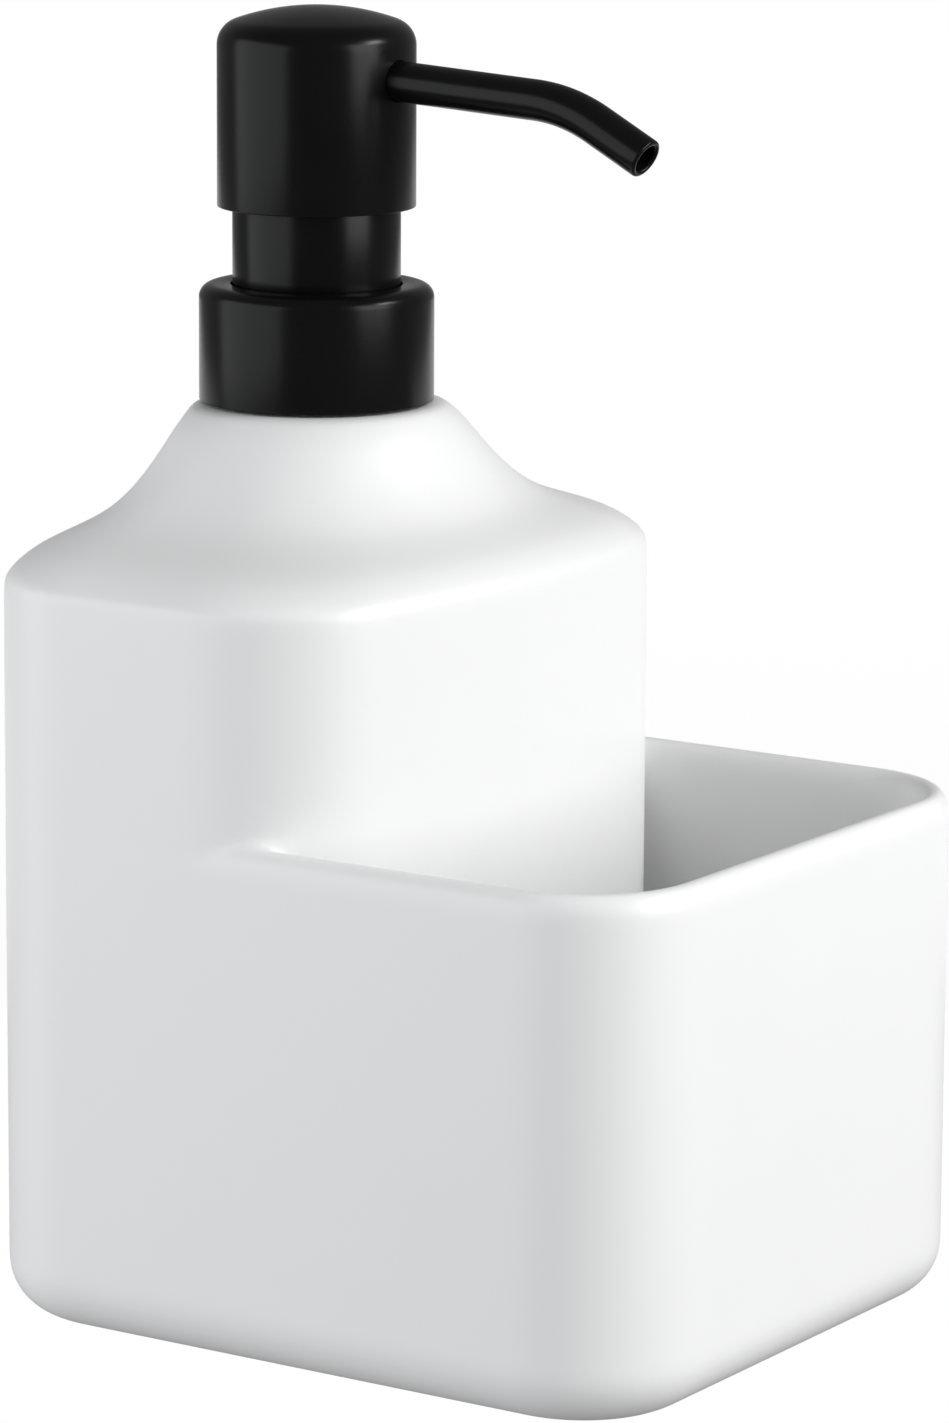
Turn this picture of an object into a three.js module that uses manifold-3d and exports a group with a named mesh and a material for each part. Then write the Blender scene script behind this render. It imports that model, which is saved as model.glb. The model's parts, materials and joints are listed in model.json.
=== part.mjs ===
// Ceramic soap dispenser with an open holder and a push pump. Millimetres, +Z up, base on Z = 0.
import * as THREE from 'three';
import { mergeVertices } from 'three/addons/utils/BufferGeometryUtils.js';
import ManifoldModule from 'manifold-3d';

// Ceramic body
const BOX_LENGTH = 115;
const BOX_WIDTH = 102;
const CORNER_R = 19;
const BASE_ROUND = 8.2;
const RIM_HEIGHT = 76.2;
const HOLDER_WALL = 4.2;
const POCKET_FLOOR = 7.5;
const POCKET_ROUND = 6;
const POCKET_TIP_R = 2.4;
const FOOT_WIDTH = 6;
const FOOT_RECESS = 1.5;
const BOTTLE_LENGTH = 68;
const BOTTLE_CORNER_R = 23;
const BOTTLE_FACE_R = 132;
const AXIS_SETBACK = 28.5;
const BOTTLE_WALL = 4.6;
const BOTTLE_FLOOR = 7.5;
const CREASE_HEIGHT = 108;
const SHOULDER_HEIGHT = 131.4;
const SHOULDER_R = 17;
const NECK_R = 12.5;
const NECK_BORE_R = 9.5;
const GLAZE_SKIN = 0.15;

// Collar, sleeve and head of the pump
const COLLAR_R = 17.2;
const COLLAR_HEIGHT = 17;
const COLLAR_ROUND = 2;
const SHELL = 0.8;
const SLEEVE_R = 12.3;
const SLEEVE_SHOWN = 11.3;
const HEAD_R = 14.5;
const HEAD_HEIGHT = 29.1;
const DOME_CROWN_R = 36;
const DOME_EDGE_R = 3.9;
const SPOUT_R = 2.95;
const SPOUT_BORE_R = 2.05;
const SPOUT_RISE = 19.7;
const SPOUT_ROOT = 4.5;
const SPOUT_STRAIGHT = 37.8;
const SPOUT_SLOPE = THREE.MathUtils.degToRad(3.1);
const SPOUT_BEND = THREE.MathUtils.degToRad(24.8);
const SPOUT_BEND_LENGTH = 11;
const SPOUT_TIP = 9.4;
const SPOUT_FLOOR = 1;

// Pump engine
const RING_WALL = 0.9;
const INSERT_WEB = 1.2;
const FLANGE_THICK = 1.6;
const GASKET_THICK = 1.5;
const CHAPLET_THICK = 3;
const CHAPLET_PLUG = 4;
const HOUSING_WALL = 1;
const HOUSING_BORE_R = 5.6;
const HOUSING_LENGTH = 48;
const STEM_R = 3.5;
const STEM_BORE_R = 2.6;
const ROD_FOOT = 1.2;
const ROD_GRIP = 6.5;
const SEAL_LENGTH = 8;
const SPRING_LENGTH = 21;
const SPRING_TURNS = 7;
const WIRE_R = 0.45;
const CAGE_THICK = 1.5;
const CAGE_HOLE_R = 1.6;
const CAGE_SLOTS = 3;
const CAGE_SLOT_WIDTH = 1.2;
const CAGE_SLOT_REACH = 3.4;
const BALL_R = 2.4;
const BALL_LIFT = 1.2;
const INLET_R = 1.6;
const TUBE_R = 2.3;
const TUBE_WALL = 0.8;
const TUBE_SOCKET = 10;
const TUBE_FLOOR_GAP = 5;
const INLET_LENGTH = 1.4;
const HOUSING_TAPER = 1.5;
const VENT_R = 0.7;
const VENT_DROP = 9;
const CHAPLET_CHAMFER = 1;
const STEM_CHAMFER = 0.5;
const SEAL_LIP = 1.6;
const SEAL_LIP_WALL = 0.9;
const BOSS_LENGTH = 8;
const BOSS_WALL = 2;

// Clearances
const GAP = 0.3;
const SEAT_GAP = 0.4;
const THREAD_GAP = 0.45;
const RUN_GAP = 0.35;
const STOP_GAP = 0.4;
const BALL_GAP = 0.8;
const CUT_OVER = 4;
const LEAST_R = 0.8;
const SAME_POINT = 1e-3;

// Facets
const CORNER_STEPS = 8;
const EDGE_STEPS = 4;
const FACE_STEPS = 6;
const ROUND_STEPS = 4;
const SHOULDER_STEPS = 12;
const CROWN_STEPS = 3;
const SHOWN_SIDES = 40;
const INNER_SIDES = 24;
const SMALL_SIDES = 16;
const BALL_RINGS = 10;
const SPOUT_SIDES = 18;
const SPOUT_STEPS = 22;
const WIRE_SIDES = 5;
const TURN_STEPS = 8;

// Levels, from the shoulder up to the head and from the flange down to the inlet
const axisX = AXIS_SETBACK - BOX_LENGTH / 2;
const rimR = HOLDER_WALL / 2;
const stroke = SLEEVE_SHOWN - STOP_GAP;
const collarBottom = SHOULDER_HEIGHT + SEAT_GAP;
const collarTop = collarBottom + COLLAR_HEIGHT;
const headBottom = collarTop + SLEEVE_SHOWN;
const headTop = headBottom + HEAD_HEIGHT;
const insertTop = collarTop - SHELL - GAP;
const flangeTop = insertTop - INSERT_WEB - GAP;
const flangeBottom = flangeTop - FLANGE_THICK;
const gasketTop = flangeBottom - GAP;
const neckTop = gasketTop - GASKET_THICK - GAP;
const ringOuterR = NECK_R + GAP + RING_WALL;
const insertInnerR = ringOuterR + THREAD_GAP;
const insertOuterR = COLLAR_R - SHELL - GAP;
const flangeR = insertInnerR - GAP;
const spoutZ = headBottom + SPOUT_RISE;
const spoutLow = spoutZ - Math.tan(SPOUT_SLOPE) * HEAD_R - SPOUT_R / Math.cos(SPOUT_SLOPE);
const coreBottom = spoutLow - GAP - SPOUT_FLOOR;
const sleeveTop = coreBottom - GAP - stroke;
const housingR = HOUSING_BORE_R + HOUSING_WALL;
const pistonR = HOUSING_BORE_R - GAP;
const barrelFloor = flangeBottom - HOUSING_LENGTH;
const cageTop = barrelFloor + GAP + CAGE_THICK;
const springBottom = cageTop + GAP;
const footBottom = springBottom + SPRING_LENGTH + GAP;
const sealBottom = footBottom + ROD_FOOT + GAP;
const stemBottom = sealBottom + SEAL_LENGTH + GAP;
const stemTop = coreBottom - GAP;
const ballChamberR = BALL_R + BALL_GAP;
const ballTop = barrelFloor - GAP - BALL_LIFT - STOP_GAP;
const ballZ = ballTop - BALL_R;
const seatTopZ = ballZ + ballChamberR - (BALL_R + GAP) * Math.SQRT2;
const inletTop = seatTopZ - (ballChamberR - INLET_R);
const socketTop = inletTop - INLET_LENGTH;
const socketBottom = socketTop - TUBE_SOCKET;
const tubeTop = socketTop - GAP;
const tubeBottom = BOTTLE_FLOOR + TUBE_FLOOR_GAP;

const wasm = await ManifoldModule();
wasm.setup();

const group = new THREE.Group();
group.name = 'ceramic_soap_dispenser';

// Turn a list of triangles into one clean indexed body that faces outward
function body(positions, index) {
  const raw = new THREE.BufferGeometry();
  raw.setAttribute('position', new THREE.Float32BufferAttribute(positions, 3));
  raw.setIndex(index);
  return clean(raw);
}

function clean(geometry) {
  geometry.deleteAttribute('normal');
  geometry.deleteAttribute('uv');
  const merged = mergeVertices(geometry, 1e-4);
  const p = merged.attributes.position;
  const old = merged.index.array;
  const kept = [];
  let volume = 0;
  const a = new THREE.Vector3();
  const b = new THREE.Vector3();
  const c = new THREE.Vector3();
  for (let i = 0; i < old.length; i += 3) {
    const [i0, i1, i2] = [old[i], old[i + 1], old[i + 2]];
    if (i0 === i1 || i1 === i2 || i2 === i0) continue;
    kept.push(i0, i1, i2);
    a.fromBufferAttribute(p, i0);
    b.fromBufferAttribute(p, i1);
    c.fromBufferAttribute(p, i2);
    volume += a.dot(b.cross(c));
  }
  if (volume < 0) {
    for (let i = 0; i < kept.length; i += 3) [kept[i + 1], kept[i + 2]] = [kept[i + 2], kept[i + 1]];
  }
  merged.setIndex(kept);
  return merged;
}

// Stack closed rings of equal length into a body with flat ends
function loft(rings) {
  const n = rings[0].length;
  const positions = rings.flat().flatMap((v) => [v.x, v.y, v.z]);
  const index = [];
  for (let k = 0; k + 1 < rings.length; k++) {
    for (let i = 0; i < n; i++) {
      const j = (i + 1) % n;
      const [a, b, c, d] = [k * n + i, k * n + j, (k + 1) * n + j, (k + 1) * n + i];
      index.push(a, b, c, a, c, d);
    }
  }
  const last = (rings.length - 1) * n;
  const flat = (ring) => ring.map((v) => new THREE.Vector2(v.x, v.y));
  for (const [a, b, c] of THREE.ShapeUtils.triangulateShape(flat(rings[0]), [])) index.push(a, c, b);
  for (const [a, b, c] of THREE.ShapeUtils.triangulateShape(flat(rings.at(-1)), [])) {
    index.push(last + a, last + b, last + c);
  }
  return body(positions, index);
}

// Turn a closed profile of [radius, height] pairs about the pump axis
function turned(profile, sides) {
  const positions = [];
  const index = [];
  const n = profile.length;
  for (let s = 0; s < sides; s++) {
    const angle = (s / sides) * Math.PI * 2;
    for (const [r, z] of profile) positions.push(r * Math.cos(angle), r * Math.sin(angle), z);
  }
  for (let s = 0; s < sides; s++) {
    const t = (s + 1) % sides;
    for (let i = 0; i < n; i++) {
      const j = (i + 1) % n;
      const [a, b, c, d] = [s * n + i, t * n + i, t * n + j, s * n + j];
      index.push(a, b, c, a, c, d);
    }
  }
  return body(positions, index);
}

function toManifold(geometry) {
  const g = clean(geometry);
  return new wasm.Manifold(
    new wasm.Mesh({
      numProp: 3,
      vertProperties: new Float32Array(g.attributes.position.array),
      triVerts: new Uint32Array(g.index.array),
    }),
  );
}

function fromManifold(m) {
  const mesh = m.getMesh();
  const g = new THREE.BufferGeometry();
  g.setAttribute('position', new THREE.Float32BufferAttribute(Array.from(mesh.vertProperties), 3));
  g.setIndex(Array.from(mesh.triVerts));
  return clean(g);
}

function cut(geometry, ...tools) {
  let result = toManifold(geometry);
  for (const tool of tools) result = result.subtract(toManifold(tool));
  return fromManifold(result);
}

function join(a, b) {
  return fromManifold(toManifold(a).add(toManifold(b)));
}

function add(name, geometry, color, roughness, metalness, onAxis = true) {
  if (onAxis) geometry.translate(axisX, 0, 0);
  geometry.computeVertexNormals();
  const material = new THREE.MeshStandardMaterial({ color, roughness, metalness });
  const mesh = new THREE.Mesh(geometry, material);
  mesh.name = name;
  group.add(mesh);
}

// Rounded rectangle between x0 and x1, drawn inward by inset
function rectRing(x0, x1, width, radius, inset, z) {
  const r = Math.max(radius - inset, LEAST_R);
  const hx = (x1 - x0) / 2 - inset - r;
  const hy = width / 2 - inset - r;
  const mid = (x0 + x1) / 2;
  const corners = [
    [hx, -hy, -90],
    [hx, hy, 0],
    [-hx, hy, 90],
    [-hx, -hy, 180],
  ];
  const ring = [];
  for (const [cx, cy, start] of corners) {
    for (let i = 0; i <= CORNER_STEPS; i++) {
      const t = THREE.MathUtils.degToRad(start + (90 * i) / CORNER_STEPS);
      ring.push(new THREE.Vector3(mid + cx + r * Math.cos(t), cy + r * Math.sin(t), z));
    }
  }
  return ring;
}

// Pull a ring towards a circle on the pump axis; share 1 keeps the ring, 0 gives the circle
function towardsCircle(ring, radius, share, z) {
  return ring.map((v) => {
    const angle = Math.atan2(v.y, v.x - axisX);
    const x = axisX + radius * Math.cos(angle);
    const y = radius * Math.sin(angle);
    return new THREE.Vector3(x + (v.x - x) * share, y + (v.y - y) * share, z);
  });
}

function arc(points, cx, cy, r, from, to, steps, z) {
  for (let i = 0; i <= steps; i++) {
    const t = from + ((to - from) * i) / steps;
    points.push(new THREE.Vector3(cx + r * Math.cos(t), cy + r * Math.sin(t), z));
  }
}

function straight(points, x0, y0, x1, y1, z) {
  for (let i = 0; i <= EDGE_STEPS; i++) {
    const t = i / EDGE_STEPS;
    points.push(new THREE.Vector3(x0 + (x1 - x0) * t, y0 + (y1 - y0) * t, z));
  }
}

function withoutDoubles(ring) {
  return ring.filter((v, i) => v.distanceTo(ring[(i + 1) % ring.length]) > SAME_POINT);
}

// Plan of the bottle: two rear corners, straight sides, wider front corners and a slightly domed front face
function bottleRing(inset, z) {
  const rearR = Math.max(CORNER_R - inset, LEAST_R);
  const rearX = boxX0 + inset + rearR;
  const rearY = BOX_WIDTH / 2 - inset - rearR;
  const side = BOX_WIDTH / 2 - inset;
  const quarter = Math.PI / 2;
  const corners = [];
  arc(corners, cornerX, -cornerY, BOTTLE_CORNER_R - inset, -quarter, -faceTurn, CORNER_STEPS, z);
  arc(corners, faceX, 0, BOTTLE_FACE_R - inset, -faceTurn, faceTurn, FACE_STEPS, z);
  arc(corners, cornerX, cornerY, BOTTLE_CORNER_R - inset, faceTurn, quarter, CORNER_STEPS, z);
  straight(corners, cornerX, side, rearX, side, z);
  arc(corners, rearX, rearY, rearR, quarter, 2 * quarter, CORNER_STEPS, z);
  straight(corners, boxX0 + inset, rearY, boxX0 + inset, -rearY, z);
  arc(corners, rearX, -rearY, rearR, 2 * quarter, 3 * quarter, CORNER_STEPS, z);
  straight(corners, rearX, -side, cornerX, -side, z);
  return withoutDoubles(corners);
}

// Plan of the holder pocket: three straight walls, the round flank of the bottle and two rounded tips
function pocketRing(wallInset, flankInset, z) {
  const wallX = boxX1 - HOLDER_WALL - wallInset;
  const wallY = BOX_WIDTH / 2 - HOLDER_WALL - wallInset;
  const outerR = Math.max(CORNER_R - HOLDER_WALL - wallInset, LEAST_R);
  const flankR = BOTTLE_CORNER_R + GLAZE_SKIN + flankInset;
  const frontR = BOTTLE_FACE_R + GLAZE_SKIN + flankInset;
  const tipY = wallY - POCKET_TIP_R;
  const tipX = cornerX + Math.sqrt((flankR + POCKET_TIP_R) ** 2 - (tipY - cornerY) ** 2);
  const lean = Math.atan2(tipY - cornerY, tipX - cornerX);
  const quarter = Math.PI / 2;
  const ring = [];
  arc(ring, tipX, -tipY, POCKET_TIP_R, Math.PI - lean, Math.PI + quarter, ROUND_STEPS, z);
  arc(ring, wallX - outerR, -(wallY - outerR), outerR, -quarter, 0, CORNER_STEPS, z);
  arc(ring, wallX - outerR, wallY - outerR, outerR, 0, quarter, CORNER_STEPS, z);
  arc(ring, tipX, tipY, POCKET_TIP_R, quarter, Math.PI + lean, ROUND_STEPS, z);
  arc(ring, cornerX, cornerY, flankR, lean, faceTurn, ROUND_STEPS, z);
  arc(ring, faceX, 0, frontR, faceTurn, -faceTurn, FACE_STEPS, z);
  arc(ring, cornerX, -cornerY, flankR, -faceTurn, -lean, ROUND_STEPS, z);
  return withoutDoubles(ring);
}

// Ceramic body: footed box, holder pocket, bottle with its S-shaped shoulder, neck and soap chamber
const boxX0 = -BOX_LENGTH / 2;
const boxX1 = BOX_LENGTH / 2;
const cornerY = BOX_WIDTH / 2 - BOTTLE_CORNER_R;
const faceTurn = Math.asin(cornerY / (BOTTLE_FACE_R - BOTTLE_CORNER_R));
const faceX = boxX0 + BOTTLE_LENGTH - BOTTLE_FACE_R;
const cornerX = faceX + (BOTTLE_FACE_R - BOTTLE_CORNER_R) * Math.cos(faceTurn);
const quarterTurn = (i) => ((Math.PI / 2) * i) / ROUND_STEPS;

const boxRing = (inset, z) => rectRing(boxX0, boxX1, BOX_WIDTH, CORNER_R, inset, z);
const boxRings = [boxRing(BASE_ROUND + FOOT_WIDTH, FOOT_RECESS), boxRing(BASE_ROUND + FOOT_WIDTH, 0)];
for (let i = 0; i <= ROUND_STEPS; i++) {
  const t = quarterTurn(i);
  boxRings.push(boxRing(BASE_ROUND * (1 - Math.sin(t)), BASE_ROUND * (1 - Math.cos(t))));
}
for (let i = 0; i <= ROUND_STEPS; i++) {
  const t = quarterTurn(i);
  boxRings.push(boxRing(rimR * (1 - Math.cos(t)), RIM_HEIGHT - rimR + rimR * Math.sin(t)));
}

const pocketRings = [];
for (let i = 1; i <= ROUND_STEPS; i++) {
  const t = quarterTurn(i);
  const inset = POCKET_ROUND * (1 - Math.sin(t));
  pocketRings.push(pocketRing(inset, inset, POCKET_FLOOR + POCKET_ROUND * (1 - Math.cos(t))));
}
for (let i = 0; i <= ROUND_STEPS; i++) {
  const t = quarterTurn(i);
  pocketRings.push(pocketRing(-rimR * (1 - Math.cos(t)), 0, RIM_HEIGHT - rimR + rimR * Math.sin(t)));
}
pocketRings.push(pocketRing(-rimR, 0, RIM_HEIGHT + rimR));

// S-shaped sweep of the shoulder: x is the share of the full section, y the share of the height
const shoulderCurve = new THREE.SplineCurve([
  new THREE.Vector2(1, 0),
  new THREE.Vector2(0.975, 0.08),
  new THREE.Vector2(0.826, 0.22),
  new THREE.Vector2(0.52, 0.37),
  new THREE.Vector2(0.318, 0.6),
  new THREE.Vector2(0.157, 0.88),
  new THREE.Vector2(0.056, 1),
]);
const shoulderSteps = shoulderCurve.getPoints(SHOULDER_STEPS);
const shoulderRise = SHOULDER_HEIGHT - CREASE_HEIGHT;
const bottleRings = [bottleRing(0, RIM_HEIGHT / 2)];
for (const { x: share, y: rise } of shoulderSteps) {
  const z = CREASE_HEIGHT + shoulderRise * rise;
  bottleRings.push(towardsCircle(bottleRing(0, z), SHOULDER_R, share, z));
}
bottleRings.push(towardsCircle(bottleRing(0, 0), NECK_R, 0, SHOULDER_HEIGHT));
bottleRings.push(towardsCircle(bottleRing(0, 0), NECK_R, 0, neckTop));

const chamberRings = [];
for (let i = 1; i <= ROUND_STEPS; i++) {
  const t = quarterTurn(i);
  const inset = BOTTLE_WALL + POCKET_ROUND * (1 - Math.sin(t));
  chamberRings.push(bottleRing(inset, BOTTLE_FLOOR + POCKET_ROUND * (1 - Math.cos(t))));
}
for (const { x: share, y: rise } of shoulderSteps.slice(0, -1).filter((_, i) => i % 2 === 0)) {
  const z = CREASE_HEIGHT - BOTTLE_WALL / 2 + shoulderRise * rise;
  chamberRings.push(towardsCircle(bottleRing(BOTTLE_WALL, z), NECK_BORE_R, share, z));
}
for (const z of [SHOULDER_HEIGHT - BOTTLE_WALL / 2, neckTop + CUT_OVER]) {
  chamberRings.push(towardsCircle(bottleRing(BOTTLE_WALL, 0), NECK_BORE_R, 0, z));
}

const holder = cut(loft(boxRings), loft(pocketRings));
add('ceramic_body', cut(join(holder, loft(bottleRings)), loft(chamberRings)), 0xf3f2ee, 0.35, 0, false);

// Threaded ring bonded to the neck, gasket on top of the neck
const ringInnerR = NECK_R + GAP;
const neckRing = [
  [ringInnerR, SHOULDER_HEIGHT + SEAT_GAP],
  [ringOuterR, SHOULDER_HEIGHT + SEAT_GAP],
  [ringOuterR, neckTop],
  [ringInnerR, neckTop],
];
add('neck_thread_ring', turned(neckRing, SHOWN_SIDES), 0xe9e8e2, 0.45, 0);

const gasket = [
  [NECK_BORE_R + GAP, gasketTop - GASKET_THICK],
  [ringOuterR - GAP, gasketTop - GASKET_THICK],
  [ringOuterR - GAP, gasketTop],
  [NECK_BORE_R + GAP, gasketTop],
];
add('neck_gasket', turned(gasket, INNER_SIDES), 0x8f8f8a, 0.8, 0);

// Collar: pressed metal shell with a rounded shoulder over a threaded insert
const collarHoleR = SLEEVE_R + GAP;
const collar = [[COLLAR_R, collarBottom]];
for (let i = 0; i <= ROUND_STEPS; i++) {
  const t = quarterTurn(i);
  collar.push([COLLAR_R - COLLAR_ROUND * (1 - Math.cos(t)), collarTop - COLLAR_ROUND * (1 - Math.sin(t))]);
}
collar.push([collarHoleR, collarTop], [collarHoleR, collarTop - SHELL]);
for (let i = ROUND_STEPS; i >= 0; i--) {
  const t = quarterTurn(i);
  const r = COLLAR_ROUND - SHELL;
  collar.push([COLLAR_R - SHELL - r * (1 - Math.cos(t)), collarTop - SHELL - r * (1 - Math.sin(t))]);
}
collar.push([COLLAR_R - SHELL, collarBottom]);
add('collar_shell', turned(collar, SHOWN_SIDES), 0x1a1a1b, 0.42, 0.6);

const insertShoulder = COLLAR_ROUND - SHELL;
const insert = [
  [collarHoleR, insertTop - INSERT_WEB],
  [insertInnerR, insertTop - INSERT_WEB],
  [insertInnerR, collarBottom + GAP],
  [insertOuterR, collarBottom + GAP],
];
for (let i = 0; i <= ROUND_STEPS; i++) {
  const t = quarterTurn(i);
  const x = insertOuterR - insertShoulder * (1 - Math.cos(t));
  insert.push([x, insertTop - insertShoulder * (1 - Math.sin(t))]);
}
insert.push([collarHoleR, insertTop]);
add('collar_insert', turned(insert, SHOWN_SIDES), 0x2a2a2b, 0.6, 0);

// Guide sleeve that the head slides over
const sleeveInnerR = SLEEVE_R - SHELL;
const sleeve = [
  [sleeveInnerR, flangeTop + GAP],
  [SLEEVE_R, flangeTop + GAP],
  [SLEEVE_R, sleeveTop],
  [sleeveInnerR, sleeveTop],
];
add('guide_sleeve', turned(sleeve, SHOWN_SIDES), 0x1a1a1b, 0.42, 0.6);

// Chaplet that closes the housing and guides the stem
const guideR = STEM_R + RUN_GAP;
const chapletR = sleeveInnerR - GAP;
const chapletTop = flangeTop + GAP + CHAPLET_THICK;
const chaplet = [
  [guideR, flangeBottom - CHAPLET_PLUG],
  [pistonR, flangeBottom - CHAPLET_PLUG],
  [pistonR, flangeTop + GAP],
  [chapletR, flangeTop + GAP],
  [chapletR, chapletTop - CHAPLET_CHAMFER],
  [chapletR - CHAPLET_CHAMFER, chapletTop],
  [guideR, chapletTop],
];
add('chaplet', turned(chaplet, INNER_SIDES), 0xdedcd4, 0.5, 0);

// Housing: flange, barrel, ball chamber, valve seat and dip tube socket
const chamberOuterR = ballChamberR + HOUSING_WALL;
const socketR = TUBE_R + GAP;
const socketOuterR = socketR + HOUSING_WALL;
const housing = [
  [HOUSING_BORE_R, flangeTop],
  [HOUSING_BORE_R, barrelFloor],
  [ballChamberR, barrelFloor],
  [ballChamberR, seatTopZ],
  [INLET_R, inletTop],
  [INLET_R, socketTop],
  [socketR, socketTop],
  [socketR, socketBottom],
  [socketOuterR, socketBottom],
  [socketOuterR, socketTop - HOUSING_WALL],
  [chamberOuterR, socketTop],
  [chamberOuterR, barrelFloor - HOUSING_WALL - HOUSING_TAPER],
  [housingR, barrelFloor - HOUSING_WALL],
  [housingR, flangeBottom],
  [flangeR, flangeBottom],
  [flangeR, flangeTop],
];
const vent = new THREE.CylinderGeometry(VENT_R, VENT_R, housingR, SMALL_SIDES);
vent.translate(0, -housingR, flangeBottom - VENT_DROP);
add('pump_housing', cut(turned(housing, INNER_SIDES), vent), 0xe6e5df, 0.45, 0);

// Valve cage with slots past the ball, then the ball and the dip tube
const cage = [
  [CAGE_HOLE_R, barrelFloor + GAP],
  [pistonR, barrelFloor + GAP],
  [pistonR, cageTop],
  [CAGE_HOLE_R, cageTop],
];
const cageSlots = [];
for (let i = 0; i < CAGE_SLOTS; i++) {
  const slot = new THREE.BoxGeometry(CAGE_SLOT_REACH, CAGE_SLOT_WIDTH, 2 * CAGE_THICK);
  slot.translate(CAGE_SLOT_REACH / 2, 0, cageTop - CAGE_THICK / 2);
  slot.rotateZ((i / CAGE_SLOTS) * Math.PI * 2);
  cageSlots.push(slot);
}
add('valve_cage', cut(turned(cage, INNER_SIDES), ...cageSlots), 0xdedcd4, 0.5, 0);

const ball = [];
for (let i = 0; i <= BALL_RINGS; i++) {
  const t = (Math.PI * i) / BALL_RINGS - Math.PI / 2;
  ball.push([i % BALL_RINGS === 0 ? 0 : BALL_R * Math.cos(t), ballZ + BALL_R * Math.sin(t)]);
}
add('check_ball', turned(ball, SMALL_SIDES), 0xc4c7ca, 0.2, 0.9);

const tube = [
  [TUBE_R - TUBE_WALL, tubeBottom],
  [TUBE_R, tubeBottom],
  [TUBE_R, tubeTop],
  [TUBE_R - TUBE_WALL, tubeTop],
];
add('dip_tube', turned(tube, SMALL_SIDES), 0xe9ebe8, 0.4, 0);

// Return spring, one unbroken wire
class Helix extends THREE.Curve {
  getPoint(t, target = new THREE.Vector3()) {
    const angle = t * SPRING_TURNS * Math.PI * 2;
    const rise = springBottom + WIRE_R + t * (SPRING_LENGTH - 2 * WIRE_R);
    return target.set(springR * Math.cos(angle), springR * Math.sin(angle), rise);
  }
}
const springR = pistonR - GAP - WIRE_R;
const circle = (radius, sides) => {
  const points = [];
  for (let i = 0; i < sides; i++) {
    const t = (i / sides) * Math.PI * 2;
    points.push(new THREE.Vector2(radius * Math.cos(t), radius * Math.sin(t)));
  }
  return points;
};
const wire = new THREE.Shape(circle(WIRE_R, WIRE_SIDES));
const helix = new Helix();
const springSteps = SPRING_TURNS * TURN_STEPS;
const springSolid = new THREE.ExtrudeGeometry(wire, { steps: springSteps, extrudePath: helix });
add('return_spring', clean(springSolid), 0xb4b7ba, 0.3, 0.95);

const helixPoints = helix.getPoints(springSteps);
let selfGap = Infinity;
helixPoints.forEach((p, i) => {
  const further = helixPoints.slice(i + TURN_STEPS / 2);
  for (const other of further) selfGap = Math.min(selfGap, p.distanceTo(other));
});
console.log('return spring least self-gap', (selfGap - 2 * WIRE_R).toFixed(2), 'mm');

// Piston seal, rod and hollow stem
const rodR = STEM_BORE_R - GAP;
const sealTop = sealBottom + SEAL_LENGTH;
const sealWaistR = STEM_R + 2 * GAP;
const seal = [
  [STEM_BORE_R, sealBottom],
  [pistonR - SEAL_LIP_WALL, sealBottom + SEAL_LIP / 2],
  [pistonR, sealBottom],
  [pistonR, sealBottom + SEAL_LIP],
  [sealWaistR, sealBottom + 2 * SEAL_LIP],
  [sealWaistR, sealTop - 2 * SEAL_LIP],
  [pistonR, sealTop - SEAL_LIP],
  [pistonR, sealTop],
  [pistonR - SEAL_LIP_WALL, sealTop - SEAL_LIP / 2],
  [STEM_BORE_R, sealTop],
];
add('piston_seal', turned(seal, INNER_SIDES), 0xcfd6da, 0.55, 0);

const rodFootR = pistonR - GAP;
const rodTop = stemBottom + ROD_GRIP;
const rod = [
  [0, footBottom],
  [rodFootR, footBottom],
  [rodFootR, footBottom + ROD_FOOT],
  [rodR, footBottom + ROD_FOOT],
  [rodR, rodTop - STEM_CHAMFER],
  [rodR - STEM_CHAMFER, rodTop],
  [0, rodTop],
];
add('piston_rod', turned(rod, INNER_SIDES), 0xdedcd4, 0.5, 0);

const stem = [
  [STEM_BORE_R, stemBottom],
  [STEM_R, stemBottom],
  [STEM_R, stemTop - STEM_CHAMFER],
  [STEM_R - STEM_CHAMFER, stemTop],
  [STEM_BORE_R, stemTop],
];
add('stem', turned(stem, INNER_SIDES), 0xe6e5df, 0.45, 0);

// Spout path, straight with a slight fall, one bend and a short tip
const spoutAt = (length) => {
  return new THREE.Vector3(Math.cos(SPOUT_SLOPE) * length, 0, spoutZ - Math.sin(SPOUT_SLOPE) * length);
};
const tipSlope = SPOUT_SLOPE + SPOUT_BEND;
const tipDirection = new THREE.Vector3(Math.cos(tipSlope), 0, -Math.sin(tipSlope));
const elbow = spoutAt(SPOUT_STRAIGHT + SPOUT_BEND_LENGTH / 2);
const bendEnd = elbow.clone().addScaledVector(tipDirection, SPOUT_BEND_LENGTH / 2);
const spoutEnd = bendEnd.clone().addScaledVector(tipDirection, SPOUT_TIP);
const spoutPath = new THREE.CurvePath();
spoutPath.add(new THREE.LineCurve3(spoutAt(SPOUT_ROOT), spoutAt(SPOUT_STRAIGHT)));
spoutPath.add(new THREE.QuadraticBezierCurve3(spoutAt(SPOUT_STRAIGHT), elbow, bendEnd));
spoutPath.add(new THREE.LineCurve3(bendEnd, spoutEnd));

const spoutSection = new THREE.Shape(circle(SPOUT_R, SPOUT_SIDES));
spoutSection.holes.push(new THREE.Path(circle(SPOUT_BORE_R, SPOUT_SIDES)));
const spoutSolid = new THREE.ExtrudeGeometry(spoutSection, { steps: SPOUT_STEPS, extrudePath: spoutPath });
add('spout_tube', clean(spoutSolid), 0x1a1a1b, 0.42, 0.6);

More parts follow.
